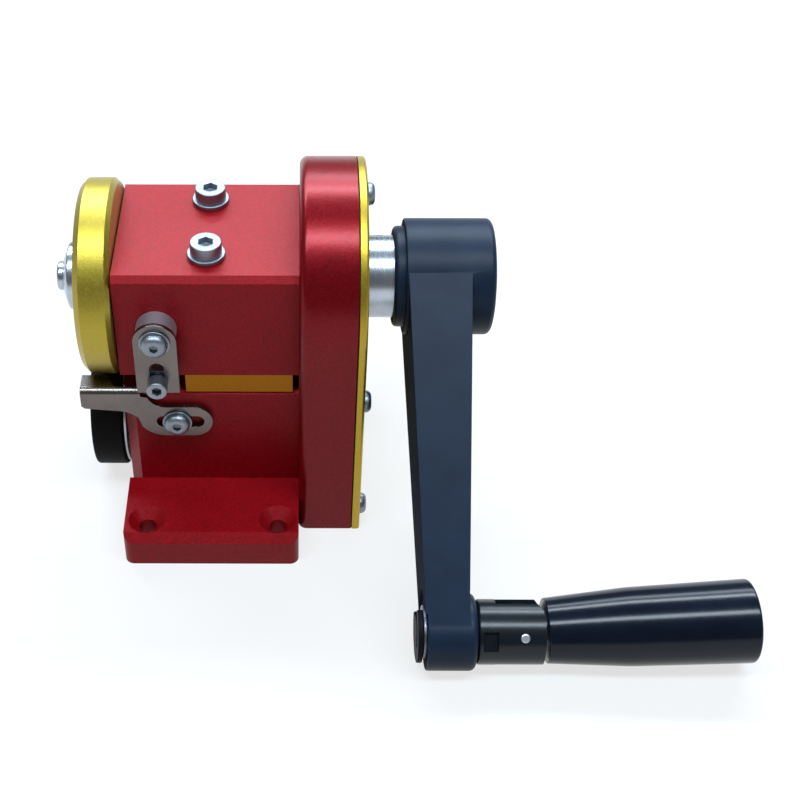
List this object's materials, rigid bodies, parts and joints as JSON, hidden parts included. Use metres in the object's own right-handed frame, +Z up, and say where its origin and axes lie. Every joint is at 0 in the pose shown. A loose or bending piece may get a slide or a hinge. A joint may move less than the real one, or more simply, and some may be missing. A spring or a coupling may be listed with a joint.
{
  "type": "hand cranked feed machine",
  "caption": "Compact hand-cranked feed machine with a gold wheel over a black roller, red clamped bearing blocks, side gear case and a folding crank handle",
  "frame": {"origin": "on the bench plane, under the crank shaft axis, midway along the bearing blocks", "axes": "X along both shafts towards the crank, Y away from the foot, Z up"},
  "size_m": [0.2202, 0.1437, 0.1189],
  "materials": {
    "red_anodised": "fine bead-blasted red anodising",
    "gold_anodised": "satin gold anodising",
    "bright_steel": "brushed and turned bright steel",
    "black_coated": "satin black powder coat",
    "black_grip": "polished black duroplast",
    "black_rubber": "smooth black rubber",
    "dark_seal": "dark gasket sheet",
    "black_oxide": "black oxide on spring steel"
  },
  "bodies": {
    "frame": {"lower_body": "red_anodised", "upper_body": "red_anodised", "spacer_plate": "gold_anodised", "clamp_screws": "bright_steel", "clamp_washers": "bright_steel", "gear_case": "red_anodised", "case_screws": "bright_steel", "cover_gasket": "dark_seal", "gear_cover": "gold_anodised", "cover_screws": "bright_steel", "bearing_outers": "bright_steel", "bearing_shields": "dark_seal", "standoff_post": "bright_steel", "link_plate": "bright_steel", "link_washer": "bright_steel", "link_screw": "bright_steel", "guide_washer": "bright_steel", "guide_screw": "bright_steel"},
    "crank": {"crank_shaft": "bright_steel", "upper_inners": "bright_steel", "feed_wheel": "gold_anodised", "wheel_key": "bright_steel", "wheel_washer": "bright_steel", "wheel_screw": "bright_steel", "upper_gear_spacer": "bright_steel", "drive_gear": "bright_steel", "drive_gear_key": "bright_steel", "shaft_sleeve": "bright_steel", "sleeve_set_screw": "black_oxide", "crank_arm": "black_coated", "hub_key": "bright_steel", "hub_washer": "bright_steel", "hub_screw": "bright_steel", "axle_bush": "bright_steel"},
    "roller": {"lower_shaft": "bright_steel", "lower_inners": "bright_steel", "pressure_roller": "black_rubber", "roller_disc": "bright_steel", "roller_key": "bright_steel", "roller_washer": "bright_steel", "roller_screw": "bright_steel", "lower_gear_spacer": "bright_steel", "driven_gear": "bright_steel", "driven_gear_key": "bright_steel", "gear_clip": "black_oxide"},
    "knuckle": {"knuckle_fork": "black_coated", "handle_axle": "black_oxide", "axle_clip": "black_oxide", "fold_pin": "bright_steel"},
    "spindle": {"fold_spindle": "bright_steel", "spindle_nut": "bright_steel"},
    "grip": {"handle_grip": "black_grip"},
    "guide": {"guide_plate": "bright_steel"},
    "stop": {"stop_screw": "bright_steel", "stop_nut": "bright_steel"}
  },
  "joints": [
    {"name": "crank_turn", "type": "hinge", "parent": "frame", "child": "crank", "pos_m": [0, 0, 0.08], "axis": [1, 0, 0], "continuous": true},
    {"name": "roller_turn", "type": "hinge", "parent": "frame", "child": "roller", "pos_m": [0, 0, 0.025], "axis": [1, 0, 0], "continuous": true},
    {"name": "handle_spin", "type": "hinge", "parent": "crank", "child": "knuckle", "pos_m": [0.0837, -0.0928, 0.01208], "axis": [1, 0, 0], "continuous": true},
    {"name": "handle_fold", "type": "hinge", "parent": "knuckle", "child": "spindle", "pos_m": [0.0981, -0.0928, 0.01208], "axis": [0, -0.766, 0.6428], "range_deg": [0, 86]},
    {"name": "grip_draw", "type": "slide", "parent": "spindle", "child": "grip", "axis": [0.9986, 0.0336, 0.0401], "range_m": [0, 0.00601]},
    {"name": "guide_slide", "type": "slide", "parent": "frame", "child": "guide", "axis": [1, 0, 0], "range_m": [-0.0065, 0.0045]},
    {"name": "stop_slide", "type": "slide", "parent": "frame", "child": "stop", "axis": [0, 0, 1], "range_m": [0, 0.0055]}
  ],
  "couplings": [
    {"joint": "roller_turn", "follows": "crank_turn", "ratio": -1.3913},
    {"joint": "grip_draw", "follows": "handle_fold", "m_per_rad": 0.004}
  ]
}
